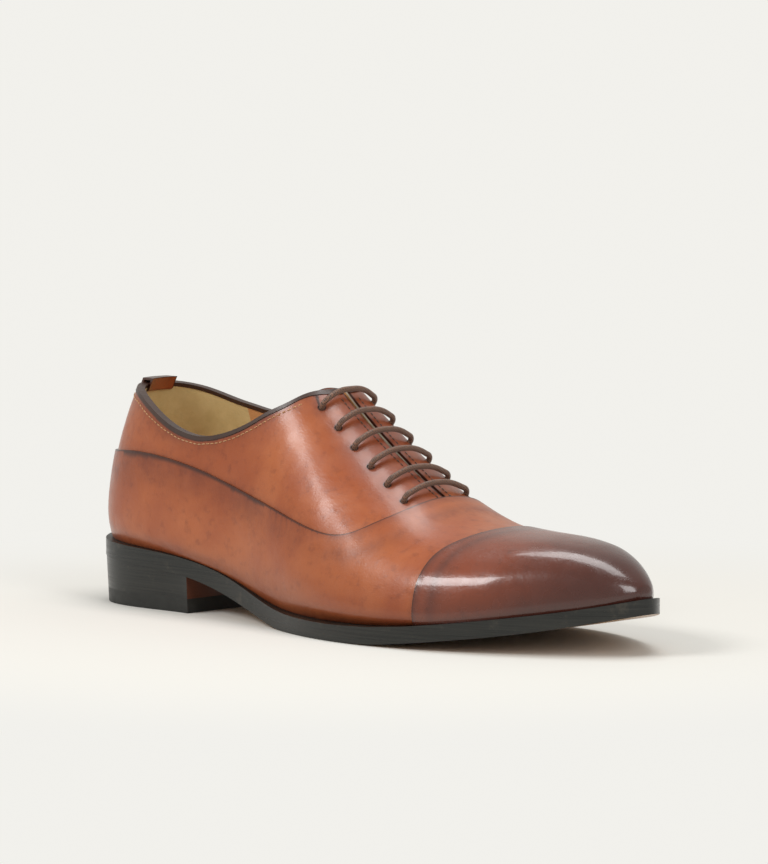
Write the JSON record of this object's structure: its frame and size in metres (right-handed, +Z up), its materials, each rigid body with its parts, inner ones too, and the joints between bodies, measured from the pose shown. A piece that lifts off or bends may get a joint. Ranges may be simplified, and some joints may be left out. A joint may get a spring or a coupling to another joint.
{
  "type": "oxford shoe",
  "caption": "Cap-toe oxford dress shoe for the right foot, with closed straight-bar lacing and a stacked heel.",
  "frame": {"origin": "centre of the heel's ground face", "axes": "+Z up, +X towards the toe, +Y towards the inner side of the foot"},
  "size_m": [0.298, 0.103, 0.0978],
  "materials": {
    "burnished_calf": "polished, burnished dark",
    "cognac_calf": "smooth, polished",
    "binding_leather": "satin",
    "tan_lining": "soft matt",
    "cream_suede": "napped",
    "stiffener": "impregnated fibreboard and canvas",
    "sole_leather": "edge-inked, waxed",
    "stacked_leather": "edge-inked, waxed",
    "top_piece_rubber": "satin",
    "insole_leather": "natural, matt",
    "cork": "granulated cork",
    "spring_steel": "mill",
    "brass": "plain",
    "waxed_lace": "round, waxed",
    "aglet_plastic": "gloss"
  },
  "bodies": {
    "shoe": {"toe_cap": "burnished_calf", "vamp": "cognac_calf", "lateral_quarter": "cognac_calf", "medial_quarter": "cognac_calf", "heel_tab": "cognac_calf", "topline_binding": "binding_leather", "lateral_lining": "tan_lining", "medial_lining": "tan_lining", "vamp_lining": "tan_lining", "heel_lining": "cream_suede", "heel_counter": "stiffener", "toe_puff": "stiffener", "vamp_backer": "stiffener", "lateral_backer": "stiffener", "medial_backer": "stiffener", "lateral_facing_stay": "stiffener", "medial_facing_stay": "stiffener", "blind_eyelets": "brass", "outsole": "sole_leather", "welt": "sole_leather", "heel_lift_1": "stacked_leather", "heel_lift_2": "stacked_leather", "heel_lift_3": "stacked_leather", "heel_top_piece": "top_piece_rubber", "heel_nails": "spring_steel", "shank": "spring_steel", "cork_filler": "cork", "insole": "insole_leather", "sock_liner": "tan_lining", "lace": "waxed_lace", "heel_lace_tail": "waxed_lace", "toe_lace_tail": "waxed_lace", "heel_aglet": "aglet_plastic", "toe_aglet": "aglet_plastic"},
    "tongue": {"tongue": "cognac_calf", "tongue_lining": "tan_lining"}
  },
  "joints": [
    {"name": "tongue_hinge", "type": "hinge", "parent": "shoe", "child": "tongue", "pos_m": [0.1555, 0.0012, 0.0465], "axis": [0, -1, 0], "range_deg": [0, 15], "stiffness_Nm_per_rad": 0.15, "springref_deg": -2.86}
  ]
}
